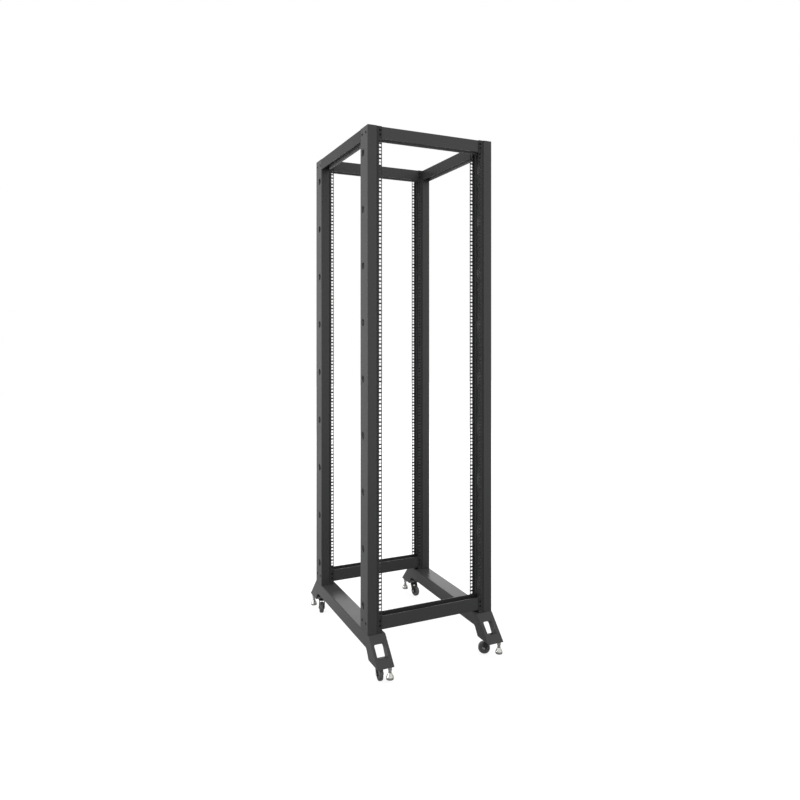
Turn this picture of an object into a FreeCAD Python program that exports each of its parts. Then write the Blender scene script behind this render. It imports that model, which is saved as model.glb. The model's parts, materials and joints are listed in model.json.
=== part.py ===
"""Four post open frame rack, 19 inch, on two channel feet with casters and levelling feet.

The frame is millimetres, +Z up, +X to the right seen from the front, +Y to the back.
The origin is on the floor, in the middle of the rack's footprint.
"""
import FreeCAD, Part
import Sketcher
import math
import os

SIZES = {
    # whole rack
    "rack_width": 575.0,          # over the outer faces of the posts
    "rack_depth": 660.0,          # front face of the front posts to rear face of the rear posts
    "base_top": 165.0,            # floor to the seat of the posts
    # posts: C sections, open inwards, with returned lips
    "post_height": 2020.0,
    "post_depth": 80.0,
    "post_face": 40.0,
    "post_lip": 15.0,
    "post_sheet": 2.0,
    "bend_inside": 1.0,           # inside radius of every fold
    "cable_hole_count": 9.0,
    "cable_hole_radius": 15.0,
    "cable_hole_aside": 12.0,     # middle of the post to the holes, towards the middle of the rack
    "cable_hole_end": 102.0,      # end of the post to the centre of the nearest cable hole
    # rails: perforated angles along the posts
    "rail_width": 22.5,           # leaves 450 clear between the rails
    "hole_inset": 14.95,          # rail's outer edge to the holes' centres: the columns are 465.1 apart
    "rail_margin": 5.0,           # least plain strip at each end of a rail
    "unit": 44.45,                # one rack unit
    "hole_side": 9.5,
    "hole_first": 6.35,           # edge of a unit to its first hole, centre
    "hole_second": 15.875,        # first to second hole, and second to third
    "rail_leg": 20.0,
    "rail_sheet": 2.0,
    "rail_recess": 3.0,           # rail face behind the post's face
    # beams between the posts: U sections, the top ones open downwards and the bottom ones upwards
    "beam_depth": 45.0,
    "beam_sheet": 2.0,
    "top_beam_height": 50.0,
    "bottom_beam_height": 55.0,
    "bottom_beam_lift": 10.0,     # above the seat of the posts
    # base channels with their bent feet
    "base_width": 75.0,
    "base_sheet": 3.0,
    "base_side": 57.0,            # height of the channel's sides
    "bend_reach": 4.0,            # post face to the bend of the foot
    "toe_reach": 95.0,            # post face to the tip of the toe
    "toe_height": 70.0,           # floor to the underside of the foot
    "sole_length": 90.0,          # tip of the toe to the inner end of the flat sole
    "heel_rise": 24.0,            # run of the heel from the sole up to the channel's side
    "heel_round": 14.0,           # radius where the heel leaves the channel's side
    "sole_round": 8.0,            # radius where the heel meets the sole
    "window_width": 46.0,
    "window_low": 97.0,           # floor to the window's lower edge
    "window_high": 138.0,         # floor to the window's upper edge
    "window_round": 4.0,
    # casters
    "caster_back": 71.0,          # tip of the toe to the swivel axis
    "caster_trail": 13.0,
    "caster_plate_side": 38.0,
    "caster_plate_thick": 2.5,
    "caster_plate_round": 4.0,
    "race_radius": 15.0,
    "race_height": 5.0,
    "race_edge": 1.5,             # chamfer of the race
    "swivel_gap": 0.3,
    "crown_radius": 17.0,
    "crown_height": 6.0,
    "crown_edge": 2.0,            # chamfer of the crown
    "king_pin_radius": 5.0,
    "king_pin_drop": 2.0,         # end of the king pin below the crown
    "fork_sheet": 2.5,
    "fork_gap": 1.0,              # wheel hub to fork cheek
    "cheek_half": 11.0,           # half of a cheek's width at the crown
    "cheek_margin": 2.5,          # axle head to the edge of the cheek
    "cheek_round": 6.5,
    "wheel_radius": 25.0,
    "wheel_width": 18.0,
    "wheel_edge": 3.0,            # chamfer of the tread's edges
    "wheel_rim": 6.0,             # thickness of the tyre
    "hub_radius": 9.0,
    "hub_width": 20.0,
    "axle_radius": 3.0,
    "axle_head": 2.0,
    "axle_head_radius": 5.0,
    "axle_head_edge": 0.8,        # chamfer of an axle head
    "running_gap": 0.1,           # axle to the wheel's bore
    # levelling feet
    "leveller_aside": 24.5,       # channel's middle to the stem
    "leveller_back": 18.0,        # tip of the toe to the stem
    "stem_radius": 5.0,
    "stem_gap": 0.3,
    "stem_top": 76.0,             # floor to the end of the stem
    "nut_flat": 8.0,              # middle of the nut to each of its six flats
    "nut_height": 8.0,
    "sleeve_radius": 7.5,
    "sleeve_height": 18.0,        # nut and sleeve together
    "bell_radius": 14.5,
    "bell_neck": 6.5,
    "neck_height": 7.0,
    "shoulder_radius": 11.5,
    "shoulder_height": 15.0,      # underside of the bell to the shoulder
    "bell_rim": 9.0,
    "bell_height": 31.0,
    "bell_lift": 18.0,            # floor to the underside of the bell
}

# degrees that each caster stands turned from straight, seen from above
CASTER_TURNS = {"front_left": -8.0, "front_right": -122.0, "rear_left": -25.0, "rear_right": 10.0}

doc = FreeCAD.newDocument("open_frame_rack")
sheet = doc.addObject("Spreadsheet::Sheet", "sizes")
for row, (alias, number) in enumerate(SIZES.items(), start=1):
    sheet.set(f"A{row}", alias)
    sheet.set(f"B{row}", str(number))
    sheet.setAlias(f"B{row}", alias)
doc.recompute()


class Length:
    """A number together with the spreadsheet formula that gives it."""

    def __init__(self, value, formula):
        self.value = float(value)
        self.formula = formula

    def __add__(self, other):
        other = length(other)
        return Length(self.value + other.value, f"({self.formula} + {other.formula})")

    def __sub__(self, other):
        other = length(other)
        return Length(self.value - other.value, f"({self.formula} - {other.formula})")

    def __mul__(self, other):
        other = length(other)
        return Length(self.value * other.value, f"({self.formula} * {other.formula})")

    def __truediv__(self, other):
        other = length(other)
        return Length(self.value / other.value, f"({self.formula} / {other.formula})")

    def __neg__(self):
        return Length(-self.value, f"(0 - {self.formula})")

    def __radd__(self, other):
        return length(other) + self

    def __rsub__(self, other):
        return length(other) - self


def length(thing):
    return thing if isinstance(thing, Length) else Length(thing, repr(float(thing)))


def whole(thing):
    """The whole number at or below a length."""
    return Length(math.floor(thing.value), f"floor({thing.formula})")


def root(thing):
    return Length(math.sqrt(thing.value), f"sqrt({thing.formula})")


class Sizes:
    """Gives each spreadsheet cell as a Length, by its alias."""

    def __getattr__(self, alias):
        return Length(sheet.get(alias), f"sizes.{alias}")


s = Sizes()
ZERO = length(0)


def bind(thing, path, value):
    thing.setExpression(path, length(value).formula)


def place(thing, x=ZERO, y=ZERO, z=ZERO, turn=0.0):
    """Put a sub-part in the rack, turned about its own Z by a number of degrees."""
    thing.Placement = FreeCAD.Placement(FreeCAD.Vector(), FreeCAD.Rotation(FreeCAD.Vector(0, 0, 1), turn))
    bind(thing, "Placement.Base.x", x)
    bind(thing, "Placement.Base.y", y)
    bind(thing, "Placement.Base.z", z)
    return thing


# ---- sketches ----------------------------------------------------------------------------------

def new_body(label):
    body = doc.addObject("PartDesign::Body", label)
    body.Label = label
    return body


def new_sketch(body, role, offset=ZERO):
    """A sketch on one of the body's own origin planes, lifted along the plane's normal."""
    plane = next(item for item in body.Origin.OriginFeatures if item.Role == role)
    sketch = body.newObject("Sketcher::SketchObject", "sketch")
    sketch.AttachmentSupport = [(plane, "")]
    sketch.MapMode = "FlatFace"
    bind(sketch, "AttachmentOffset.Base.z", offset)
    return sketch


def hold(sketch, geometry, vertex, x, y):
    """Tie one point of a sketch to the spreadsheet."""
    for kind, value in (("DistanceX", x), ("DistanceY", y)):
        value = length(value)
        index = sketch.addConstraint(Sketcher.Constraint(kind, -1, 1, geometry, vertex, value.value))
        sketch.setExpression(f"Constraints[{index}]", value.formula)


def polygon(sketch, corners):
    """A closed outline: a corner is (x, y), or (x, y, radius) where it is rounded.

    Every corner is tied to the spreadsheet, and so is every radius.
    """
    spots = [FreeCAD.Vector(length(corner[0]).value, length(corner[1]).value, 0) for corner in corners]
    count = len(spots)
    first = sketch.GeometryCount
    for index in range(count):
        sketch.addGeometry(Part.LineSegment(spots[index], spots[(index + 1) % count]))
    for index in range(count):
        following = first + (index + 1) % count
        sketch.addConstraint(Sketcher.Constraint("Coincident", first + index, 2, following, 1))
        hold(sketch, first + index, 1, *corners[index][:2])
    for index, corner in enumerate(corners):
        if len(corner) == 3:
            round_corner(sketch, first + index, length(corner[2]))


def round_corner(sketch, line, radius):
    """Round the corner at the start of a line; the corner stays as a point that holds the lines."""
    arc = sketch.GeometryCount
    sketch.fillet(line, 1, radius.value, True, True)
    ring = sketch.addConstraint(Sketcher.Constraint("Radius", arc, radius.value))
    sketch.setExpression(f"Constraints[{ring}]", radius.formula)


def rectangle(sketch, left, bottom, right, top, *radius):
    """A rectangle, with rounded corners where a radius is given."""
    corners = ((left, bottom), (right, bottom), (right, top), (left, top))
    polygon(sketch, [(x, y, *radius) for x, y in corners])


def circle(sketch, x, y, radius):
    centre = FreeCAD.Vector(length(x).value, length(y).value, 0)
    index = sketch.addGeometry(Part.Circle(centre, FreeCAD.Vector(0, 0, 1), length(radius).value))
    hold(sketch, index, 3, x, y)
    ring = sketch.addConstraint(Sketcher.Constraint("Radius", index, length(radius).value))
    sketch.setExpression(f"Constraints[{ring}]", length(radius).formula)


# ---- features ----------------------------------------------------------------------------------

def pad(body, sketch, height, midplane=False):
    feature = body.newObject("PartDesign::Pad", "pad")
    feature.Profile = sketch
    feature.Midplane = midplane
    bind(feature, "Length", height)
    doc.recompute()
    return feature


def pocket(body, sketch, depth=None, midplane=False, reverse=False):
    """Cut a sketch out of the body, right through where no depth is given.

    It is an error if no material goes.
    """
    before = body.Shape.Volume
    feature = body.newObject("PartDesign::Pocket", "pocket")
    feature.Profile = sketch
    feature.Midplane = midplane
    feature.Reversed = reverse
    if depth is None:
        feature.Type = "ThroughAll"
    else:
        bind(feature, "Length", depth)
    doc.recompute()
    if body.Shape.Volume >= before:
        raise RuntimeError(f"{body.Label}: a pocket removed nothing")
    return feature


def row_up(body, feature, span, count):
    """Repeat a feature along Z: count copies over the span."""
    pattern = body.newObject("PartDesign::LinearPattern", "row")
    axis = next(item for item in body.Origin.OriginFeatures if item.Role == "Z_Axis")
    pattern.Originals = [feature]
    pattern.Direction = (axis, [""])
    bind(pattern, "Length", span)
    bind(pattern, "Occurrences", count)
    body.Tip = pattern
    doc.recompute()
    return pattern


def round_edges(body, radius, chosen):
    """Round the edges of the body's shape for whose middle point the test says yes."""
    base = body.Tip
    names = [f"Edge{number}" for number, edge in enumerate(base.Shape.Edges, start=1)
             if chosen(edge.valueAt((edge.FirstParameter + edge.LastParameter) / 2))]
    feature = body.newObject("PartDesign::Fillet", "fold")
    feature.Base = (base, names)
    bind(feature, "Radius", radius)
    doc.recompute()
    return feature


def revolve(body, corners, role="Z_Axis"):
    """Turn an outline of (x, z) corners about one of the body's own axes."""
    sketch = new_sketch(body, "XZ_Plane")
    polygon(sketch, corners)
    feature = body.newObject("PartDesign::Revolution", "turned")
    axis = next(item for item in body.Origin.OriginFeatures if item.Role == role)
    feature.Profile = sketch
    feature.ReferenceAxis = (axis, [""])
    feature.Angle = 360
    doc.recompute()
    return feature


# ---- posts and rails ---------------------------------------------------------------------------

POST_X = (s.rack_width - s.post_face) / 2
POST_Y = (s.rack_depth - s.post_depth) / 2
INNER_EDGE = s.rack_width / 2 - s.post_face
RAIL_TIP = INNER_EDGE - s.rail_width
POST_TOP = s.base_top + s.post_height


def make_post(label, x, y, turn, hole_side):
    """C section of folded sheet: outer web, two faces, two lips, and an end plate at each end.

    In its own frame the web is on the -X side and the opening on the +X side. The cable holes lie off
    the middle of the web, to its +Y side where hole_side is 1 and to its -Y side where it is -1.
    """
    body = new_body(label)
    outer = -s.post_face / 2
    inner = s.post_face / 2
    back = s.post_depth / 2
    wall = s.post_sheet
    fold_in = s.bend_inside
    fold_out = s.bend_inside + wall
    section = new_sketch(body, "XY_Plane")
    polygon(section, [
        (outer, -back, fold_out), (inner, -back, fold_out), (inner, s.post_lip - back),
        (inner - wall, s.post_lip - back), (inner - wall, wall - back, fold_in),
        (outer + wall, wall - back, fold_in), (outer + wall, back - wall, fold_in),
        (inner - wall, back - wall, fold_in), (inner - wall, back - s.post_lip), (inner, back - s.post_lip),
        (inner, back, fold_out), (outer, back, fold_out),
    ])
    pad(body, section, s.post_height)
    for level in (ZERO, s.post_height - wall):
        plate = new_sketch(body, "XY_Plane", level)
        rectangle(plate, outer + wall, wall - back, inner - wall, back - wall)
        pad(body, plate, wall)
    hole = new_sketch(body, "YZ_Plane", outer)
    circle(hole, s.cable_hole_aside * hole_side, s.cable_hole_end, s.cable_hole_radius)
    drilled = pocket(body, hole, wall * 2, midplane=True)
    row_up(body, drilled, s.post_height - s.cable_hole_end * 2, s.cable_hole_count)
    return place(body, x, y, s.base_top, turn)


def make_rail(label, side, end, post_y, perforated):
    """Angle along a post: the face with the square holes, and a leg against the post's lip.

    side is -1 on the left and +1 on the right; end is -1 for a rail that faces the front.
    """
    body = new_body(label)
    section = new_sketch(body, "XY_Plane")
    tip = RAIL_TIP
    face = s.post_depth / 2 - s.rail_recess
    wall = s.rail_sheet
    corners = [
        (tip, face), (INNER_EDGE, face, s.bend_inside + wall), (INNER_EDGE, face - s.rail_leg),
        (INNER_EDGE - wall, face - s.rail_leg), (INNER_EDGE - wall, face - wall, s.bend_inside),
        (tip, face - wall),
    ]
    polygon(section, [(x * side, y * end, *radius) for x, y, *radius in corners])
    pad(body, section, s.post_height)
    if perforated:
        unit = new_sketch(body, "XZ_Plane", face * -end)
        units = whole((s.post_height - s.rail_margin * 2) / s.unit)
        start = (s.post_height - s.unit * units) / 2 + s.hole_first
        half = s.hole_side / 2
        middle = (INNER_EDGE - s.hole_inset) * side
        for step in range(3):
            level = start + s.hole_second * step
            rectangle(unit, middle - half, level - half, middle + half, level + half)
        punched = pocket(body, unit, midplane=True)
        row_up(body, punched, s.unit * (units - 1), units)
    return place(body, ZERO, post_y, s.base_top)


for front_rear, along in (("front", -1), ("rear", 1)):
    for left_right, across in (("left", -1), ("right", 1)):
        corner = f"{front_rear}_{left_right}"
        turn = 0.0 if across < 0 else 180.0
        make_post(f"post_{corner}", POST_X * across, POST_Y * along, turn, along * across)
        for facing, end in (("front", -1), ("back", 1)):
            make_rail(f"rail_{corner}_{facing}", across, end, POST_Y * along, end == along)


# ---- beams -------------------------------------------------------------------------------------

def u_section(left, right, height, opens_up=False):
    """Corners of a U section of folded sheet, open downwards or upwards."""
    wall = s.beam_sheet
    fold_out = s.bend_inside + wall
    down = [
        (left, ZERO), (left, height, fold_out), (right, height, fold_out), (right, ZERO),
        (right - wall, ZERO), (right - wall, height - wall, s.bend_inside),
        (left + wall, height - wall, s.bend_inside), (left + wall, ZERO),
    ]
    return [(x, height - z, *radius) for x, z, *radius in down] if opens_up else down


def make_cross_beam(label, post_y, bottom, height, opens_up):
    """Channel across the rack, between the legs of the rails and behind the faces that look to the front."""
    body = new_body(label)
    front = s.rail_recess + s.rail_sheet + s.bend_inside
    section = new_sketch(body, "YZ_Plane")
    polygon(section, u_section(front, front + s.beam_depth, height, opens_up))
    pad(body, section, (INNER_EDGE - s.rail_sheet) * 2, midplane=True)
    return place(body, ZERO, post_y - s.post_depth / 2, bottom)


def make_side_beam(label, side):
    """Channel along the top between a front and a rear post."""
    body = new_body(label)
    section = new_sketch(body, "XZ_Plane")
    polygon(section, u_section(-s.post_face / 2, s.post_face / 2, s.top_beam_height))
    pad(body, section, s.rack_depth - s.post_depth * 2, midplane=True)
    return place(body, POST_X * side, ZERO, POST_TOP - s.top_beam_height)


for front_rear, along in (("front", -1), ("rear", 1)):
    make_cross_beam(f"beam_top_{front_rear}", POST_Y * along, POST_TOP - s.top_beam_height,
                    s.top_beam_height, False)
    make_cross_beam(f"beam_bottom_{front_rear}", POST_Y * along, s.base_top + s.bottom_beam_lift,
                    s.bottom_beam_height, True)
for left_right, across in (("left", -1), ("right", 1)):
    make_side_beam(f"beam_top_{left_right}", across)


# ---- base channels -----------------------------------------------------------------------------

BASE_X = (s.rack_width - s.base_width) / 2
FACE_Y = s.rack_depth / 2
TOE_Y = FACE_Y + s.toe_reach
SOLE_TOP = s.toe_height + s.base_sheet


def both_ends(corners):
    """A half outline, given from the middle outwards, mirrored to the other end."""
    return corners + [(-y, z, *radius) for y, z, *radius in reversed(corners)]


def make_base(label, x):
    """Inverted channel whose ends slope down to a flat sole at each toe, with a window in each slope."""
    body = new_body(label)
    wall = s.base_sheet
    fold_out = s.bend_inside + wall
    side_low = s.base_top - s.base_side
    toe = TOE_Y
    bend = FACE_Y + s.bend_reach
    sole_end = toe - s.sole_length
    outline = new_sketch(body, "YZ_Plane")
    polygon(outline, both_ends([
        (sole_end - s.heel_rise, side_low, s.heel_round), (sole_end, s.toe_height, s.sole_round),
        (toe, s.toe_height), (bend, s.base_top, fold_out),
    ]))
    pad(body, outline, s.base_width, midplane=True)

    low_level = s.toe_height.value + 0.01
    side_x = (s.base_width / 2).value - 0.01
    round_edges(body, fold_out, lambda spot: abs(spot.x) > side_x and spot.z > low_level
                and (spot.z > s.base_top.value - 0.01 or abs(spot.y) > sole_end.value))
    run = toe - bend
    rise = s.base_top - s.toe_height
    lean = run / rise
    slope_wall = wall * root(run * run + rise * rise) / rise
    inside = new_sketch(body, "YZ_Plane")
    polygon(inside, both_ends([
        (sole_end, s.toe_height - wall), (sole_end, SOLE_TOP),
        (toe - wall * lean - slope_wall, SOLE_TOP, s.bend_inside),
        (toe - (rise - wall) * lean - slope_wall, s.base_top - wall, s.bend_inside),
    ]))
    pocket(body, inside, s.base_width - wall * 2, midplane=True)
    window = new_sketch(body, "XZ_Plane")
    rectangle(window, -s.window_width / 2, s.window_low, s.window_width / 2, s.window_high, s.window_round)
    pocket(body, window, midplane=True)
    stems = new_sketch(body, "XY_Plane", SOLE_TOP)
    for end in (-1, 1):
        circle(stems, s.leveller_aside * -end, (toe - s.leveller_back) * end, s.stem_radius + s.stem_gap)
    pocket(body, stems)
    return place(body, x)


for left_right, across in (("left", -1), ("right", 1)):
    make_base(f"base_{left_right}", BASE_X * across)


# ---- casters -----------------------------------------------------------------------------------

PLATE_LOW = s.toe_height - s.caster_plate_thick
CROWN_TOP = PLATE_LOW - s.race_height - s.swivel_gap
CHEEK_IN = s.hub_width / 2 + s.fork_gap
CHEEK_OUT = CHEEK_IN + s.fork_sheet


def make_caster_plate(label):
    """Square top plate with the fixed half of the ball race under it."""
    body = new_body(label)
    half = s.caster_plate_side / 2
    outline = new_sketch(body, "XY_Plane", PLATE_LOW)
    rectangle(outline, -half, -half, half, half, s.caster_plate_round)
    pad(body, outline, s.caster_plate_thick)
    low = PLATE_LOW - s.race_height
    revolve(body, [
        (ZERO, low), (s.race_radius - s.race_edge, low), (s.race_radius, low + s.race_edge),
        (s.race_radius, PLATE_LOW), (ZERO, PLATE_LOW),
    ])
    return body


def make_caster_fork(label):
    """Pressed fork: a round crown, the end of its king pin, and two cheeks down to the axle."""
    body = new_body(label)
    low = CROWN_TOP - s.crown_height
    pin_low = low - s.king_pin_drop
    revolve(body, [
        (ZERO, pin_low), (s.king_pin_radius, pin_low), (s.king_pin_radius, low), (s.crown_radius, low),
        (s.crown_radius, CROWN_TOP - s.crown_edge), (s.crown_radius - s.crown_edge, CROWN_TOP),
        (ZERO, CROWN_TOP),
    ])
    tab = s.axle_head_radius + s.cheek_margin
    for inner in (CHEEK_IN, -CHEEK_OUT):
        cheek = new_sketch(body, "YZ_Plane", inner)
        polygon(cheek, [
            (-s.cheek_half, CROWN_TOP - s.crown_edge), (-s.cheek_half, low),
            (-s.caster_trail - tab, s.wheel_radius),
            (-s.caster_trail - tab, s.wheel_radius - tab, s.cheek_round),
            (tab - s.caster_trail, s.wheel_radius - tab, s.cheek_round), (s.cheek_half, low),
            (s.cheek_half, CROWN_TOP - s.crown_edge),
        ])
        pad(body, cheek, s.fork_sheet)
    bore = new_sketch(body, "YZ_Plane")
    circle(bore, -s.caster_trail, s.wheel_radius, s.axle_radius)
    pocket(body, bore, midplane=True)
    return body


def make_caster_axle(label):
    """Axle through the cheeks, with a round head on each end, about its own centre."""
    body = new_body(label)
    inner = CHEEK_OUT
    outer = CHEEK_OUT + s.axle_head
    revolve(body, [
        (-outer, ZERO), (-outer, s.axle_head_radius - s.axle_head_edge),
        (s.axle_head_edge - outer, s.axle_head_radius), (-inner, s.axle_head_radius), (-inner, s.axle_radius),
        (inner, s.axle_radius), (inner, s.axle_head_radius), (outer - s.axle_head_edge, s.axle_head_radius),
        (outer, s.axle_head_radius - s.axle_head_edge), (outer, ZERO),
    ], "X_Axis")
    return body


def make_caster_wheel(label):
    """Tyre with chamfered edges, a recessed web on each side and a hub with a bore, about its own centre."""
    body = new_body(label)
    half = s.wheel_width / 2
    hub = s.hub_width / 2
    bore = s.axle_radius + s.running_gap
    web = half - s.wheel_edge
    rim = s.wheel_radius - s.wheel_rim
    revolve(body, [
        (-hub, bore), (-hub, s.hub_radius), (-web, s.hub_radius), (-web, rim), (-half, rim),
        (-half, s.wheel_radius - s.wheel_edge), (s.wheel_edge - half, s.wheel_radius),
        (half - s.wheel_edge, s.wheel_radius), (half, s.wheel_radius - s.wheel_edge), (half, rim),
        (web, rim), (web, s.hub_radius), (hub, s.hub_radius), (hub, bore),
    ], "X_Axis")
    return body


# ---- levelling feet ----------------------------------------------------------------------------

def make_leveller_sleeve(label):
    """Hexagon nut under the sole that runs on into a round threaded sleeve."""
    body = new_body(label)
    nut_low = s.toe_height - s.nut_height
    low = s.toe_height - s.sleeve_height
    revolve(body, [(ZERO, low), (s.sleeve_radius, low), (s.sleeve_radius, nut_low), (ZERO, nut_low)])
    corner = s.nut_flat / math.cos(math.radians(30))
    nut = new_sketch(body, "XY_Plane", nut_low)
    angles = [math.radians(60 * step) for step in range(6)]
    polygon(nut, [(corner * math.cos(angle), corner * math.sin(angle)) for angle in angles])
    pad(body, nut, s.nut_height)
    bore = new_sketch(body, "XY_Plane", s.toe_height)
    circle(bore, ZERO, ZERO, s.stem_radius + s.stem_gap)
    pocket(body, bore)
    return body


def make_leveller(label):
    """Stem with a bell shaped foot."""
    body = new_body(label)
    low = s.bell_lift
    high = s.bell_lift + s.bell_height
    revolve(body, [
        (ZERO, low), (s.bell_radius, low), (s.bell_radius, low + s.bell_rim),
        (s.shoulder_radius, low + s.shoulder_height), (s.bell_neck, high - s.neck_height),
        (s.bell_neck, high), (s.stem_radius, high), (s.stem_radius, s.stem_top), (ZERO, s.stem_top),
    ])
    return body


for front_rear, along in (("front", -1), ("rear", 1)):
    for left_right, across in (("left", -1), ("right", 1)):
        corner = f"{front_rear}_{left_right}"
        turn = CASTER_TURNS[corner]
        axis_x = BASE_X * across
        axis_y = (TOE_Y - s.caster_back) * along
        place(make_caster_plate(f"caster_plate_{corner}"), axis_x, axis_y)
        place(make_caster_fork(f"caster_fork_{corner}"), axis_x, axis_y, ZERO, turn)
        wheel_x = axis_x + s.caster_trail * math.sin(math.radians(turn))
        wheel_y = axis_y - s.caster_trail * math.cos(math.radians(turn))
        place(make_caster_axle(f"caster_axle_{corner}"), wheel_x, wheel_y, s.wheel_radius, turn)
        place(make_caster_wheel(f"caster_wheel_{corner}"), wheel_x, wheel_y, s.wheel_radius, turn)
        stem_x = BASE_X * across - s.leveller_aside * along
        stem_y = (TOE_Y - s.leveller_back) * along
        place(make_leveller_sleeve(f"leveller_sleeve_{corner}"), stem_x, stem_y)
        place(make_leveller(f"leveller_{corner}"), stem_x, stem_y)


# ---- check and write ---------------------------------------------------------------------------

doc.recompute()
NODES = ["post", "caster_plate", "caster_fork", "caster_axle", "caster_wheel", "leveller_sleeve", "leveller"]
names = [f"{kind}_{corner}" for kind in NODES
         for corner in ("front_left", "front_right", "rear_left", "rear_right")]
names += [f"rail_{corner}_{facing}" for corner in ("front_left", "front_right", "rear_left", "rear_right")
          for facing in ("front", "back")]
names += [f"beam_top_{side}" for side in ("front", "rear", "left", "right")]
names += ["beam_bottom_front", "beam_bottom_rear", "base_left", "base_right"]

for thing in doc.Objects:
    if "Invalid" in thing.State or "Error" in thing.State:
        raise RuntimeError(f"{thing.Label} failed: {thing.State}")

os.makedirs("parts", exist_ok=True)
for name in names:
    thing = doc.getObjectsByLabel(name)[0]
    shape = thing.Shape
    if shape.isNull() or not shape.isValid() or len(shape.Solids) != 1:
        raise RuntimeError(f"{name}: not one valid solid")
    shape.exportStep(f"parts/{name}.step")
    print(f"{name:32s} {shape.Volume / 1000:9.2f} cm3  faces {len(shape.Faces)}")
print(len(names), "nodes")
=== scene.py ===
# %% [markdown]
# # Four post open frame rack
# A 19 inch equipment rack: four folded steel posts with square-holed rails, beams across the top
# and the bottom, and two channel feet on casters and levelling feet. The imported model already
# holds every load-carrying piece at its real size. This lesson dresses it: it sets the camera and
# the studio, builds the finishes from nodes, and adds the pieces that are too fine for the model.

# %% Load the rack
import json
import math

import bmesh
import bpy
import numpy as np
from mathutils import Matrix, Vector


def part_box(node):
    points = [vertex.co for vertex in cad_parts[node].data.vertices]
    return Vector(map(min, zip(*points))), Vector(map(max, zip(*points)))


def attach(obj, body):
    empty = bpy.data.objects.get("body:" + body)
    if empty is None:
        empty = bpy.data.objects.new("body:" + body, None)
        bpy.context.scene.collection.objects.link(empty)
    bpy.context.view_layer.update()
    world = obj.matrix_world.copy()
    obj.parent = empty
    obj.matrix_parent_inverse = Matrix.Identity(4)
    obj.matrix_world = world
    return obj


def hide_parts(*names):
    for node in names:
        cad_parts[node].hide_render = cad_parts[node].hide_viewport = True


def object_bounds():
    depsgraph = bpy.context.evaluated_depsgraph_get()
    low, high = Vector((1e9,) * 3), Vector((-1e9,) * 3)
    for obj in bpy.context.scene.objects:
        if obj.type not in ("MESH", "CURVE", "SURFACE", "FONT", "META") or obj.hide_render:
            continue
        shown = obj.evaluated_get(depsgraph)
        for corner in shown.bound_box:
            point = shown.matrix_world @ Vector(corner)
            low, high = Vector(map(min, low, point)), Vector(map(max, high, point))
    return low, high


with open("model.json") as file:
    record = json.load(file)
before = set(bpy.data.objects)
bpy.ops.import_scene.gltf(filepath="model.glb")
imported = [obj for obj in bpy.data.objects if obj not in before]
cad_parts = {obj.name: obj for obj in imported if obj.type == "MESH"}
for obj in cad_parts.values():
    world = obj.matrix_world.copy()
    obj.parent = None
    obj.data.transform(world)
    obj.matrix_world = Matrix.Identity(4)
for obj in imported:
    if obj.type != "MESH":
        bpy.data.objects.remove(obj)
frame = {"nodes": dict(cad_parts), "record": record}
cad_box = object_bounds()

MM = 0.001
scene = bpy.context.scene
rack_low, rack_high = cad_box
print("rack box in metres", [round(v, 4) for v in rack_low], [round(v, 4) for v in rack_high])

# %% [markdown]
# ## Camera
# A tall narrow thing looks calm when its upright edges stay upright. An architect's view does that:
# the camera is held level at about shoulder height, and the frame is shifted down instead of
# tilting the lens. The lens is moderately wide, so the near post is clearly larger than the far one.

# %% Camera
EYE = (-1.283, -2.777, 1.353)
YAW = math.radians(24.9)
FOCAL = 30.1
SENSOR_WIDTH = 36.0
FRAME_DROP = -0.0815
CLIP_NEAR, CLIP_FAR = 0.05, 60.0

view = bpy.data.cameras.new("eye_level")
view.sensor_width = SENSOR_WIDTH
view.lens = FOCAL
view.shift_y = FRAME_DROP
view.clip_start = CLIP_NEAR
view.clip_end = CLIP_FAR
camera = bpy.data.objects.new("eye_level", view)
camera.location = EYE
camera.rotation_euler = (math.radians(90), 0, -YAW)
scene.collection.objects.link(camera)
scene.camera = camera
print("camera", EYE, "yaw", round(math.degrees(YAW), 1), "lens", FOCAL)

# %% [markdown]
# ## Studio
# Black paint shows the room nearly as much as its own colour: what it mirrors decides how light each
# face is. The room is white all round. It is brightest at the height of the eye behind the camera,
# which lifts the faces that look forward, and falls off overhead, where the sloping feet look.
# The camera sees it as plain white, whatever its strength is for the rest.

# %% Node helpers
def node(tree, kind, x, y, **settings):
    """Add a node at a place in the editor and set the properties named."""
    made = tree.nodes.new(kind)
    made.location = (x, y)
    for key, value in settings.items():
        setattr(made, key, value)
    return made


def join(tree, source, target):
    tree.links.new(source, target)


def smooth_ramp(tree, x, y, start, end, first, last):
    """A node that gives first up to start and last from end on, and eases from one to the other."""
    made = node(tree, "ShaderNodeMapRange", x, y, interpolation_type="SMOOTHSTEP")
    for socket, value in (("From Min", start), ("From Max", end), ("To Min", first), ("To Max", last)):
        made.inputs[socket].default_value = value
    return made


# %% World
HORIZON = 1.0
OVERHEAD = 0.78
HEIGHT_SPAN = (0.1, 0.8)
FRONT_GAIN = 1.6
FRONT_SPAN = (-1.0, 0.2)

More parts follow.
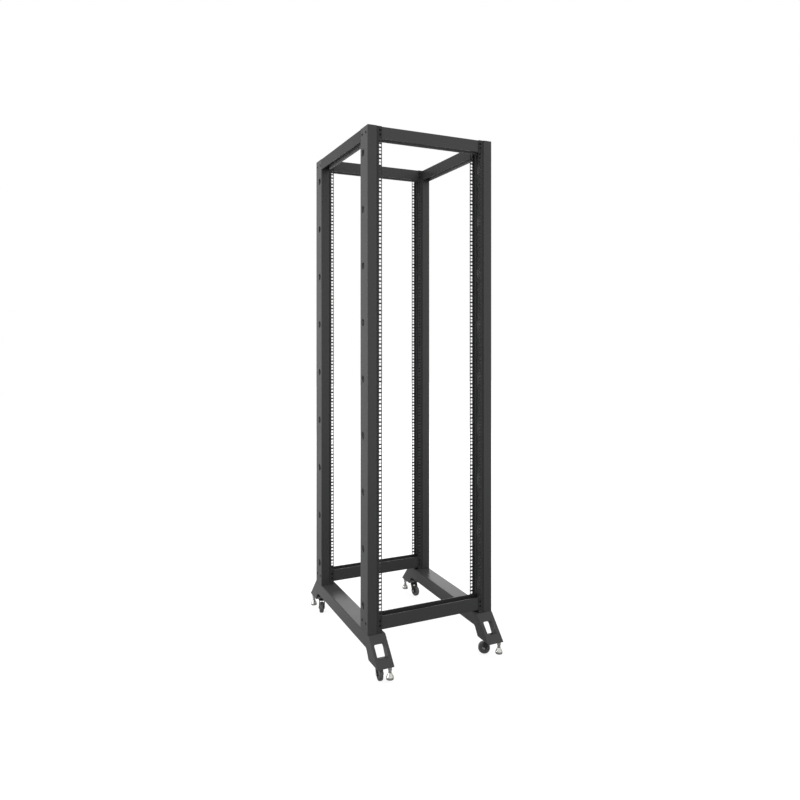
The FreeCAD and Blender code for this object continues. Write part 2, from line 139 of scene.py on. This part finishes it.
world = bpy.data.worlds.new("studio")
scene.world = world
world.use_nodes = True
tree = world.node_tree
tree.nodes.clear()
direction = node(tree, "ShaderNodeTexCoord", -1100, 0)
parts = node(tree, "ShaderNodeSeparateXYZ", -900, 0)
by_height = smooth_ramp(tree, -650, 100, *HEIGHT_SPAN, HORIZON, OVERHEAD)
by_front = smooth_ramp(tree, -650, -200, *FRONT_SPAN, FRONT_GAIN, 1.0)
room = node(tree, "ShaderNodeMath", -400, 0, operation="MULTIPLY")
seen = node(tree, "ShaderNodeLightPath", -400, 300)
strength = node(tree, "ShaderNodeMix", -200, 100, data_type="FLOAT")
strength.inputs["B"].default_value = 1.0
sky = node(tree, "ShaderNodeBackground", 0, 100)
sky.inputs["Color"].default_value = (1.0, 1.0, 1.0, 1.0)
out = node(tree, "ShaderNodeOutputWorld", 200, 100)
join(tree, direction.outputs["Generated"], parts.inputs["Vector"])
join(tree, parts.outputs["Z"], by_height.inputs["Value"])
join(tree, parts.outputs["Y"], by_front.inputs["Value"])
join(tree, by_height.outputs["Result"], room.inputs[0])
join(tree, by_front.outputs["Result"], room.inputs[1])
join(tree, seen.outputs["Is Camera Ray"], strength.inputs["Factor"])
join(tree, room.outputs["Value"], strength.inputs["A"])
join(tree, strength.outputs["Result"], sky.inputs["Strength"])
join(tree, sky.outputs["Background"], out.inputs["Surface"])
print("room: horizon", HORIZON, "overhead", OVERHEAD, "front gain", FRONT_GAIN)


# %% [markdown]
# ## Floor
# The floor is one sheet of a soft grey. Its own colour takes the room's light and keeps the rack's
# shadow, and the rack mirrors that grey in its lowest part. A glow that the camera can see lifts the
# floor to the white of the room. Paint and metal mirror a glow too, which grows with the distance
# from the rack, so that the floor runs into the white room without a line. Each glow is a pair of
# numbers, in front of the rack and behind it, with a smooth change between the two.

# %% Floor
FLOOR_HALF = 14.0
FLOOR_GREY = 0.40
FLOOR_GLOW = 0.75
NEAR_GLOW = (0.0, 0.20)
FAR_GLOW = (0.85, 0.40)
FAR_SPAN = (1.6, 4.0)
BACK_SPAN = (-0.5, 0.5)

floor_mesh = bpy.data.meshes.new("floor")
side = np.array([-FLOOR_HALF, FLOOR_HALF])
xs, ys = np.meshgrid(side, side)
corners = np.stack([xs, ys, np.zeros_like(xs)], axis=-1).reshape(-1, 3)
floor_mesh.from_pydata(corners.tolist(), [], [(0, 1, 3, 2)])
floor = bpy.data.objects.new("floor", floor_mesh)
scene.collection.objects.link(floor)
pale = bpy.data.materials.new("pale_floor")
pale.use_nodes = True
tree = pale.node_tree
tree.nodes.clear()
sheet = node(tree, "ShaderNodeBsdfDiffuse", 0, 200)
sheet.inputs["Color"].default_value = (FLOOR_GREY, FLOOR_GREY, FLOOR_GREY, 1.0)
lift = node(tree, "ShaderNodeEmission", 0, 0)
seen = node(tree, "ShaderNodeLightPath", -600, 0)
place = node(tree, "ShaderNodeTexCoord", -1000, -300)
reach = node(tree, "ShaderNodeVectorMath", -800, -300, operation="LENGTH")
parts = node(tree, "ShaderNodeSeparateXYZ", -800, -500)
far = smooth_ramp(tree, -600, -300, *FAR_SPAN, 0.0, 1.0)
near_glow = smooth_ramp(tree, -600, -600, *BACK_SPAN, *NEAR_GLOW)
far_glow = smooth_ramp(tree, -600, -900, *BACK_SPAN, *FAR_GLOW)
glow = node(tree, "ShaderNodeMix", -500, -200, data_type="FLOAT")
mirrored = node(tree, "ShaderNodeMath", -400, -200, operation="MULTIPLY")
direct = node(tree, "ShaderNodeMath", -400, 0, operation="MAXIMUM")
white = node(tree, "ShaderNodeMath", -200, 0, operation="MULTIPLY_ADD")
white.inputs[1].default_value = FLOOR_GLOW
both = node(tree, "ShaderNodeAddShader", 200, 100)
out = node(tree, "ShaderNodeOutputMaterial", 400, 100)
join(tree, place.outputs["Object"], reach.inputs[0])
join(tree, reach.outputs["Value"], far.inputs["Value"])
join(tree, seen.outputs["Is Glossy Ray"], mirrored.inputs[0])
join(tree, place.outputs["Object"], parts.inputs["Vector"])
join(tree, parts.outputs["Y"], near_glow.inputs["Value"])
join(tree, parts.outputs["Y"], far_glow.inputs["Value"])
join(tree, far.outputs["Result"], glow.inputs["Factor"])
join(tree, near_glow.outputs["Result"], glow.inputs["A"])
join(tree, far_glow.outputs["Result"], glow.inputs["B"])
join(tree, glow.outputs["Result"], mirrored.inputs[1])
join(tree, seen.outputs["Is Camera Ray"], direct.inputs[0])
join(tree, seen.outputs["Is Transmission Ray"], direct.inputs[1])
join(tree, direct.outputs["Value"], white.inputs[0])
join(tree, mirrored.outputs["Value"], white.inputs[2])
join(tree, white.outputs["Value"], lift.inputs["Strength"])
join(tree, sheet.outputs["BSDF"], both.inputs[0])
join(tree, lift.outputs["Emission"], both.inputs[1])
join(tree, both.outputs["Shader"], out.inputs["Surface"])
floor_mesh.materials.append(pale)
print("floor", 2 * FLOOR_HALF, "m square")

# %% [markdown]
# ## Lamps
# One wide soft lamp high on the left models the posts, and a second, low on the left, lights the
# sides of the feet and the wheels. The largest stands behind the rack, where the tops of the feet
# mirror it towards the camera at a flat angle, so that they carry a clear sheen. All three are much
# wider than the posts, so no edge of a shadow shows.

# %% Lamps
def soft_lamp(name, place, aim, width, power):
    """Square area lamp at a place, turned so that it shines towards a point."""
    data = bpy.data.lights.new(name, "AREA")
    data.shape = "SQUARE"
    data.size = width
    data.energy = power
    lamp = bpy.data.objects.new(name, data)
    gap = np.array(aim) - np.array(place)
    turn = math.atan2(gap[1], gap[0]) - math.radians(90)
    tilt = math.acos(-gap[2] / np.linalg.norm(gap))
    lamp.rotation_euler = (tilt, 0, turn)
    lamp.location = place
    lamp.visible_camera = False
    scene.collection.objects.link(lamp)
    return lamp


soft_lamp("left_softbox", place=(-3.2, -2.0, 3.6), aim=(0, 0, 1.0), width=2.2, power=12.0)
soft_lamp("low_left_softbox", place=(-4.2, 1.1, 0.9), aim=(0.1, 0, 0.2), width=1.8, power=75.0)
soft_lamp("back_softbox", place=(2.2, 5.4, 2.7), aim=(0, 0, 0.3), width=3.2, power=70.0)

# %% [markdown]
# ## Finishes
# Every steel sheet of the rack is powder coated: the paint is dusted on, baked, and flows out into
# a skin with a faint orange peel. Three things make it read as that and not as plain black. The
# skin has tiny waves that break up reflections, its gloss drifts a little from place to place, and
# single grains sit lighter. A node group works these out once, and each coated material uses it.

# %% Powder coat group
def group(name, inputs, outputs):
    """An empty shader group: inputs are (name, kind, default), outputs are (name, kind)."""
    tree = bpy.data.node_groups.new(name, "ShaderNodeTree")
    for label, kind, default in inputs:
        socket = tree.interface.new_socket(label, in_out="INPUT", socket_type=kind)
        socket.default_value = default
    for label, kind in outputs:
        tree.interface.new_socket(label, in_out="OUTPUT", socket_type=kind)
    return tree, node(tree, "NodeGroupInput", -900, 0), node(tree, "NodeGroupOutput", 700, 0)


FLOAT = "NodeSocketFloat"
COLOUR = "NodeSocketColor"
coat_group, given, put = group(
    "powder_skin",
    [("Colour", COLOUR, (0.02, 0.02, 0.02, 1)), ("Peel Scale", FLOAT, 700.0), ("Gloss", FLOAT, 0.42),
     ("Gloss Drift", FLOAT, 0.08), ("Grain", FLOAT, 0.25)],
    [("Colour", COLOUR), ("Roughness", FLOAT), ("Height", FLOAT)])
where = node(coat_group, "ShaderNodeTexCoord", -900, -300)
peel = node(coat_group, "ShaderNodeTexNoise", -600, 100)
peel.inputs["Detail"].default_value = 2.0
peel.inputs["Roughness"].default_value = 0.45
drift = node(coat_group, "ShaderNodeTexNoise", -600, -200)
drift.inputs["Scale"].default_value = 5.0
drift.inputs["Detail"].default_value = 4.0
grains = node(coat_group, "ShaderNodeTexVoronoi", -600, -500, feature="F1")
grains.inputs["Scale"].default_value = 1400.0
speck = node(coat_group, "ShaderNodeMapRange", -350, -500)
speck.inputs["From Min"].default_value = 0.0
speck.inputs["From Max"].default_value = 0.28
speck.inputs["To Min"].default_value = 1.0
speck.inputs["To Max"].default_value = 0.0
lighter = node(coat_group, "ShaderNodeMath", -150, -500, operation="MULTIPLY")
tone = node(coat_group, "ShaderNodeMath", 50, -350, operation="ADD")
tone.inputs[1].default_value = 1.0
paint = node(coat_group, "ShaderNodeVectorMath", 300, -200, operation="SCALE")
centred = node(coat_group, "ShaderNodeMath", -350, -200, operation="SUBTRACT")
centred.inputs[1].default_value = 0.5
moved = node(coat_group, "ShaderNodeMath", -150, -100, operation="MULTIPLY")
gloss = node(coat_group, "ShaderNodeMath", 50, 0, operation="ADD")
for texture in (peel, drift, grains):
    join(coat_group, where.outputs["Object"], texture.inputs["Vector"])
join(coat_group, given.outputs["Peel Scale"], peel.inputs["Scale"])
join(coat_group, grains.outputs["Distance"], speck.inputs["Value"])
join(coat_group, speck.outputs["Result"], lighter.inputs[0])
join(coat_group, given.outputs["Grain"], lighter.inputs[1])
join(coat_group, lighter.outputs["Value"], tone.inputs[0])
join(coat_group, given.outputs["Colour"], paint.inputs["Vector"])
join(coat_group, tone.outputs["Value"], paint.inputs["Scale"])
join(coat_group, drift.outputs["Fac"], centred.inputs[0])
join(coat_group, centred.outputs["Value"], moved.inputs[0])
join(coat_group, given.outputs["Gloss Drift"], moved.inputs[1])
join(coat_group, moved.outputs["Value"], gloss.inputs[0])
join(coat_group, given.outputs["Gloss"], gloss.inputs[1])
join(coat_group, paint.outputs["Vector"], put.inputs["Colour"])
join(coat_group, gloss.outputs["Value"], put.inputs["Roughness"])
join(coat_group, peel.outputs["Fac"], put.inputs["Height"])
print("group", coat_group.name, "with", len(coat_group.nodes), "nodes")


# %% [markdown]
# ## Painted light inside
# The inside of a post, an upper beam or a foot gets a lighter grey coat here. That grey is painted
# light: it lifts the shade deep in each channel, with a given tone. A second group finds those places:
# on the outside of a channel the surface faces away from its middle line, and on the inside it faces
# towards it, so the sign of one dot product tells them apart.

# %% Inside group
FACING_MARGIN = 1.0 * MM

inside_group, given, put = group(
    "faces_inwards",
    [("Middle", "NodeSocketVector", (0, 0, 0)), ("Across", "NodeSocketVector", (1, 1, 1))], [("Mask", FLOAT)])
where = node(inside_group, "ShaderNodeTexCoord", -900, -100)
offset = node(inside_group, "ShaderNodeVectorMath", -700, 0, operation="SUBTRACT")
across = node(inside_group, "ShaderNodeVectorMath", -500, 0, operation="MULTIPLY")
facing = node(inside_group, "ShaderNodeVectorMath", -300, 0, operation="DOT_PRODUCT")
inside = node(inside_group, "ShaderNodeMath", -100, 0, operation="LESS_THAN")
inside.inputs[1].default_value = -FACING_MARGIN
join(inside_group, where.outputs["Object"], offset.inputs[0])
join(inside_group, given.outputs["Middle"], offset.inputs[1])
join(inside_group, offset.outputs["Vector"], across.inputs[0])
join(inside_group, given.outputs["Across"], across.inputs[1])
join(inside_group, across.outputs["Vector"], facing.inputs[0])
join(inside_group, where.outputs["Normal"], facing.inputs[1])
join(inside_group, facing.outputs["Value"], inside.inputs[0])
join(inside_group, inside.outputs["Value"], put.inputs["Mask"])
print("group", inside_group.name, "with", len(inside_group.nodes), "nodes")


# %% Coated steel
FRAME_BLACK = (0.037, 0.0372, 0.038)
FRAME_GLOSS = 0.34
FRAME_SPECULAR = 0.21
SIDE_BEAM_SPECULAR = 0.06
# The bases' black is lighter than the posts': painted light that lifts the sides of the feet.
BASE_BLACK_PAINTED_LIGHT = (0.054, 0.0542, 0.055)
BASE_GLOSS = 0.30
BASE_SPECULAR = 0.10
# A light grey painted inside the channels: painted light that lifts their shade.
INSIDE_PAINTED_LIGHT = (0.20, 0.20, 0.205)


def coated(name, colour, gloss, specular, peel_scale=700.0, peel_depth=0.06, painted_light_inside=None):
    """Powder coated steel. peel_depth is the height of the skin's waves, in millimetres.

    The last argument is a point on a channel's middle line and the directions across it; the coat inside
    turns a lighter grey there, as painted light.
    """
    material = bpy.data.materials.new(name)
    material.use_nodes = True
    tree = material.node_tree
    surface = tree.nodes["Principled BSDF"]
    surface.inputs["Specular IOR Level"].default_value = specular
    skin = node(tree, "ShaderNodeGroup", -500, 100, node_tree=coat_group)
    skin.inputs["Colour"].default_value = (*colour, 1.0)
    skin.inputs["Gloss"].default_value = gloss
    skin.inputs["Peel Scale"].default_value = peel_scale
    bump = node(tree, "ShaderNodeBump", -250, -150)
    bump.inputs["Distance"].default_value = peel_depth * MM
    bump.inputs["Strength"].default_value = 0.6
    join(tree, skin.outputs["Roughness"], surface.inputs["Roughness"])
    join(tree, skin.outputs["Height"], bump.inputs["Height"])
    join(tree, bump.outputs["Normal"], surface.inputs["Normal"])
    if painted_light_inside is None:
        join(tree, skin.outputs["Colour"], surface.inputs["Base Color"])
        return material
    # Painted light: inside the channel the coat turns the lighter grey, in place of light reaching the
    # hollow.
    inner = node(tree, "ShaderNodeGroup", -500, 400, node_tree=inside_group)
    inner.inputs["Middle"].default_value = painted_light_inside[0]
    inner.inputs["Across"].default_value = painted_light_inside[1]
    painted_inside_mix = node(tree, "ShaderNodeMix", -250, 200, data_type="RGBA")
    painted_inside_mix.inputs["B"].default_value = (*INSIDE_PAINTED_LIGHT, 1.0)
    join(tree, inner.outputs["Mask"], painted_inside_mix.inputs["Factor"])
    join(tree, skin.outputs["Colour"], painted_inside_mix.inputs["A"])
    join(tree, painted_inside_mix.outputs["Result"], surface.inputs["Base Color"])
    return material


frame_coat = coated("frame_powder_coat", FRAME_BLACK, FRAME_GLOSS, FRAME_SPECULAR)
rail_coat = coated("rail_powder_coat", (0.034, 0.0342, 0.035), gloss=0.42, specular=0.06)
FINE_PEEL = {"peel_scale": 1200.0, "peel_depth": 0.02}
caster_coat = coated("caster_black", (0.020, 0.020, 0.021), gloss=0.34, specular=0.21, **FINE_PEEL)
screw_coat = coated("screw_black_oxide", (0.008, 0.008, 0.008), gloss=0.50, specular=0.08, **FINE_PEEL)
print("coats", frame_coat.name, rail_coat.name, caster_coat.name, screw_coat.name)

# %% [markdown]
# ## Bare metal and nylon
# The levelling feet and the axles are zinc plated: a bright metal with a slightly warm cast that a
# handled part shows in soft clouds. The wheels are moulded nylon, which is never quite even either:
# its skin is finely pitted and the gloss wanders. Both use one group that mixes two tones by a cloud
# and passes on a fine pitting.

# %% Cloud group
cloud_group, given, put = group(
    "handled_cloud",
    [("Tone A", COLOUR, (0.6, 0.6, 0.6, 1)), ("Tone B", COLOUR, (0.5, 0.5, 0.5, 1)),
     ("Cloud Scale", FLOAT, 60.0), ("Pit Scale", FLOAT, 1500.0), ("Gloss", FLOAT, 0.3),
     ("Gloss Drift", FLOAT, 0.15)],
    [("Colour", COLOUR), ("Roughness", FLOAT), ("Height", FLOAT)])
where = node(cloud_group, "ShaderNodeTexCoord", -900, -300)
cloud = node(cloud_group, "ShaderNodeTexNoise", -600, 0)
cloud.inputs["Detail"].default_value = 3.0
pits = node(cloud_group, "ShaderNodeTexNoise", -600, -300)
pits.inputs["Detail"].default_value = 1.0
blend = node(cloud_group, "ShaderNodeMix", -100, 200, data_type="RGBA")
centred = node(cloud_group, "ShaderNodeMath", -350, -100, operation="SUBTRACT")
centred.inputs[1].default_value = 0.5
moved = node(cloud_group, "ShaderNodeMath", -150, -100, operation="MULTIPLY")
gloss = node(cloud_group, "ShaderNodeMath", 50, -50, operation="ADD")
for texture, scale in ((cloud, "Cloud Scale"), (pits, "Pit Scale")):
    join(cloud_group, where.outputs["Object"], texture.inputs["Vector"])
    join(cloud_group, given.outputs[scale], texture.inputs["Scale"])
join(cloud_group, cloud.outputs["Fac"], blend.inputs["Factor"])
join(cloud_group, given.outputs["Tone A"], blend.inputs["A"])
join(cloud_group, given.outputs["Tone B"], blend.inputs["B"])
join(cloud_group, cloud.outputs["Fac"], centred.inputs[0])
join(cloud_group, centred.outputs["Value"], moved.inputs[0])
join(cloud_group, given.outputs["Gloss Drift"], moved.inputs[1])
join(cloud_group, moved.outputs["Value"], gloss.inputs[0])
join(cloud_group, given.outputs["Gloss"], gloss.inputs[1])
join(cloud_group, blend.outputs["Result"], put.inputs["Colour"])
join(cloud_group, gloss.outputs["Value"], put.inputs["Roughness"])
join(cloud_group, pits.outputs["Fac"], put.inputs["Height"])
print("group", cloud_group.name, "with", len(cloud_group.nodes), "nodes")


# %% Zinc and nylon
def clouded(name, tone_a, tone_b, gloss, metallic, pit_depth):
    """A material of two clouded tones. pit_depth is the depth of the pitting, in millimetres."""
    material = bpy.data.materials.new(name)
    material.use_nodes = True
    tree = material.node_tree
    surface = tree.nodes["Principled BSDF"]
    surface.inputs["Metallic"].default_value = metallic
    skin = node(tree, "ShaderNodeGroup", -500, 100, node_tree=cloud_group)
    skin.inputs["Tone A"].default_value = (*tone_a, 1.0)
    skin.inputs["Tone B"].default_value = (*tone_b, 1.0)
    skin.inputs["Gloss"].default_value = gloss
    bump = node(tree, "ShaderNodeBump", -250, -150)
    bump.inputs["Distance"].default_value = pit_depth * MM
    bump.inputs["Strength"].default_value = 0.5
    join(tree, skin.outputs["Colour"], surface.inputs["Base Color"])
    join(tree, skin.outputs["Roughness"], surface.inputs["Roughness"])
    join(tree, skin.outputs["Height"], bump.inputs["Height"])
    join(tree, bump.outputs["Normal"], surface.inputs["Normal"])
    return material


zinc = clouded("zinc_plate", (0.52, 0.52, 0.495), (0.38, 0.38, 0.36),
               gloss=0.12, metallic=1.0, pit_depth=0.015)
nylon = clouded("black_nylon", (0.060, 0.060, 0.061), (0.075, 0.075, 0.076),
                gloss=0.46, metallic=0.0, pit_depth=0.03)
print("finishes", zinc.name, nylon.name)

# %% [markdown]
# ## Dress the model
# One loop dresses every piece. The posts, upper beams and bases are open channels, and each gets a
# coat of its own, since each has its own middle line. The rails share one coat. For the rest the
# record says which finish they have. The side beams and the rails are duller than the posts.

# %% Finish of each node
FINISHES = {
    "frame_black": frame_coat,
    "zinc": zinc,
    "caster_steel": caster_coat,
    "wheel_black": nylon,
}


def coat_with_painted_inside(name):
    """The coat of one open channel: a post, an upper beam or a base, with painted light on its inside."""
    low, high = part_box(name)
    middle = [(low.x + high.x) / 2, (low.y + high.y) / 2, (low.z + high.z) / 2]
    colour, gloss, specular = FRAME_BLACK, FRAME_GLOSS, FRAME_SPECULAR
    # The bases take the lighter black, which is painted light on the feet.
    if name.startswith("base"):
        middle[2] = low.z
        across = (1, 0, 1)
        colour, gloss, specular = BASE_BLACK_PAINTED_LIGHT, BASE_GLOSS, BASE_SPECULAR
    elif name.startswith("post"):
        across = (1, 1, 0)
    elif high.y - low.y > high.x - low.x:
        across = (1, 0, 1)
        specular = SIDE_BEAM_SPECULAR
    else:
        across = (0, 1, 1)
    return coated(f"{name}_coat", colour, gloss, specular, painted_light_inside=(middle, across))


for subpart in frame["record"]["subparts"]:
    name = subpart["node"]
    if name.startswith("rail"):
        finish = rail_coat
    elif name.startswith(("post", "beam_top", "base")):
        finish = coat_with_painted_inside(name)
    else:
        finish = FINISHES[subpart["material_slot"]]
    dressed = frame["nodes"][name]
    dressed.data.materials.clear()
    dressed.data.materials.append(finish)

# %% [markdown]
# ## Surfaces from numbers
# The fine pieces are surfaces: points worked out for a whole grid at once, then joined by quads.
# One helper numbers the quads of a grid, and one turns points and quads into a finished piece.

# %% Grid helpers
def grid_quads(rows, columns, round_columns=False):
    """Quads of a grid of points: each joins a point, its right neighbour and the two above them."""
    row = np.arange(rows - 1)[:, None] * columns
    left = np.arange(columns if round_columns else columns - 1)
    right = (left + 1) % columns
    corners = [row + left, row + right, row + columns + right, row + columns + left]
    return np.stack(corners, axis=-1).reshape(-1, 4)


def piece(name, points, quads, material, body, closed=True, smooth=True):
    """A mesh object of the rack. A closed one gets its seams merged and its faces turned outwards."""
    mesh = bpy.data.meshes.new(name)
    mesh.from_pydata(points.reshape(-1, 3).tolist(), [], quads.tolist())
    if closed:
        work = bmesh.new()
        work.from_mesh(mesh)
        bmesh.ops.remove_doubles(work, verts=work.verts, dist=1e-6)
        bmesh.ops.recalc_face_normals(work, faces=work.faces)
        work.to_mesh(mesh)
        work.free()
    mesh.polygons.foreach_set("use_smooth", np.full(len(mesh.polygons), smooth))
    mesh.materials.append(material)
    made = bpy.data.objects.new(name, mesh)
    scene.collection.objects.link(made)
    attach(made, body)
    return made


# %% [markdown]
# ## Rails that face inwards
# Each post carries two angles with square holes, one towards the outside of the rack and one
# towards the inside. The inner ones are plain strips in the model, so they are made here. A rail is
# a folded section carried up the post: the grid's columns follow the section and its rows sit at
# the edges of the holes, so that a hole is simply a quad that is left out. Solidify then gives the
# sheet its thickness and closes every rim.

# %% Inner rails
UNIT = 44.45 * MM
UNITS = 45
HOLE_SIDE = 9.5 * MM
HOLE_LEVELS = np.array([6.35, 22.225, 38.1]) * MM
HOLE_COLUMNS = 465.1 * MM
RAIL_SHEET = 2.0 * MM
RAIL_BEND = 3.0 * MM
BEND_STEPS = 5


def rail_section(tip, hole, edge, face, leg_end):
    """Outer line of the folded rail: along the face from its tip, round the bend, along the leg.

    The bend is a quarter circle: its centre plus the radius times sine and cosine.
    """
    side = np.sign(edge)
    back = np.sign(leg_end - face)
    angle = np.linspace(0, math.pi / 2, BEND_STEPS)
    bend_x = edge - side * RAIL_BEND * (1 - np.sin(angle))
    bend_y = face + back * RAIL_BEND * (1 - np.cos(angle))
    flat = np.array([tip, hole - side * HOLE_SIDE / 2, hole + side * HOLE_SIDE / 2])
    x = np.concatenate([flat, bend_x, [edge]])
    y = np.concatenate([np.full(3, face), bend_y, [leg_end]])
    return x, y


def inner_rail(name, facing):
    """Rail with its column of square holes, in place of the model's plain strip."""
    low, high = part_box(name)
    left = high.x < 0
    tip, edge = (high.x, low.x) if left else (low.x, high.x)
    face, leg_end = (low.y, high.y) if facing < 0 else (high.y, low.y)
    x, y = rail_section(tip, math.copysign(HOLE_COLUMNS / 2, tip), edge, face, leg_end)
    start = low.z + (high.z - low.z - UNIT * UNITS) / 2
    middles = (start + np.arange(UNITS)[:, None] * UNIT + HOLE_LEVELS).ravel()
    edges = np.stack([middles - HOLE_SIDE / 2, middles + HOLE_SIDE / 2], axis=1).ravel()
    z = np.concatenate([[low.z], edges, [high.z]])
    points = np.stack([np.broadcast_to(x, (len(z), len(x))), np.broadcast_to(y, (len(z), len(x))),
                       np.broadcast_to(z[:, None], (len(z), len(x)))], axis=-1)
    quads = grid_quads(len(z), len(x))
    cell = np.arange(len(quads))
    is_hole = (cell // (len(x) - 1) % 2 == 1) & (cell % (len(x) - 1) == 1)
    quads = quads[~is_hole]
    if left == (facing < 0):
        quads = quads[:, ::-1]
    rail = piece(f"holed_{name}", points, quads, rail_coat, "rack", closed=False, smooth=False)
    thick = rail.modifiers.new("sheet", "SOLIDIFY")
    thick.thickness = RAIL_SHEET
    thick.offset = -1.0
    thick.use_even_offset = True
    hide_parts(name)
    return rail


for side in ("left", "right"):
    for name, facing in ((f"rail_front_{side}_back", 1), (f"rail_rear_{side}_front", -1)):
        rail = inner_rail(name, facing)
        print(rail.name, "quads", len(rail.data.polygons), "holes", UNITS * len(HOLE_LEVELS))

# %% [markdown]
# ## Screws
# Two black screws hold each beam end to its rail, and flat ones close the outer faces of the posts.
# A socket screw is a lathe shape with one exception: its socket is a hexagon. So the head is a grid
# of angle against steps along its outline, and on the steps inside the socket the radius follows
# the hexagon, the flat's distance divided by the cosine of the angle from the nearest flat.

# %% Socket screws
SCREW_STEPS = 36


def screw_head(radius, rise, flat, depth):
    """Points of a button head that faces +Z, as rings from its seat over the dome into the socket."""
    angle = np.linspace(0, 2 * math.pi, SCREW_STEPS, endpoint=False)
    hexagon = flat / np.cos((angle + math.pi / 6) % (math.pi / 3) - math.pi / 6)
    lean = np.linspace(0, math.radians(75), 5)
    dome_r = radius * 0.55 + radius * 0.45 * np.cos(lean)
    dome_z = rise * (0.35 + 0.65 * np.sin(lean) / math.sin(lean[-1]))
    circles = np.concatenate([[0.0, radius, radius], dome_r])
    levels = np.concatenate([[0.0, 0.0, rise * 0.25], dome_z])
    rings = [circles[:, None] * np.ones_like(angle), hexagon[None, :] * 1.04, hexagon[None, :],
             hexagon[None, :] * 0.97, np.zeros((1, SCREW_STEPS))]
    r = np.concatenate(rings)
    z = np.concatenate([levels, [rise, rise * 0.9, rise - depth, rise - depth]])
    return np.stack([r * np.cos(angle), r * np.sin(angle), np.broadcast_to(z[:, None], r.shape)], axis=-1)


def placed_screws(name, head, places, normal, material):
    """Copies of a head at each place, its axis turned to the normal, joined in one mesh."""
    up = np.array(normal, float)
    across = np.cross(up, [0, 0, 1.0])
    turn = np.stack([across, np.cross(up, across), up])
    flat = head.reshape(-1, 3) @ turn
    points = np.array(places)[:, None, :] + flat[None, :, :]
    quads = grid_quads(head.shape[0], head.shape[1], round_columns=True)
    quads = quads[None, :, :] + np.arange(len(places))[:, None, None] * len(flat)
    return piece(name, points, quads.reshape(-1, 4), material, "rack", smooth=False)


# %% Beam screws
BEAM_SCREW_SPREAD = 19.0 * MM
beam_head = screw_head(radius=3.8 * MM, rise=2.0 * MM, flat=1.7 * MM, depth=1.4 * MM)
for front_rear in ("front", "rear"):
    for level in ("top", "bottom"):
        beam_low, beam_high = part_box(f"beam_{level}_{front_rear}")
        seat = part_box(f"rail_{front_rear}_left_front")[0].y
        middle = (beam_low.z + beam_high.z) / 2
        places = [(side * HOLE_COLUMNS / 2, seat, middle + step * BEAM_SCREW_SPREAD / 2)
                  for side in (-1, 1) for step in (-1, 1)]
        made = placed_screws(f"beam_screws_{level}_{front_rear}", beam_head, places, (0, -1, 0),
                             screw_coat)
        print(made.name, "screws", len(places), "quads", len(made.data.polygons))

# %% Post screws
POST_SCREW_FROM_TOP = 27.0 * MM
POST_SCREW_FROM_BOTTOM = 41.0 * MM
POST_SCREW_SPREAD = 40.0 * MM
post_head = screw_head(radius=5.5 * MM, rise=0.9 * MM, flat=3.2 * MM, depth=0.8 * MM)
for front_rear in ("front", "rear"):
    for left_right, outwards in (("left", -1), ("right", 1)):
        low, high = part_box(f"post_{front_rear}_{left_right}")
        face = high.x if outwards > 0 else low.x
        middle = (low.y + high.y) / 2
        places = [(face, middle + step * POST_SCREW_SPREAD / 2, level) for step in (-1, 1)
                  for level in (low.z + POST_SCREW_FROM_BOTTOM, high.z - POST_SCREW_FROM_TOP)]
        made = placed_screws(f"post_screws_{front_rear}_{left_right}", post_head, places, (outwards, 0, 0),
                             screw_coat)
        print(made.name, "screws", len(places))

# %% [markdown]
# ## Finish
# The last cell sets the Standard view transform.

# %% Finish
scene.view_settings.view_transform = "Standard"
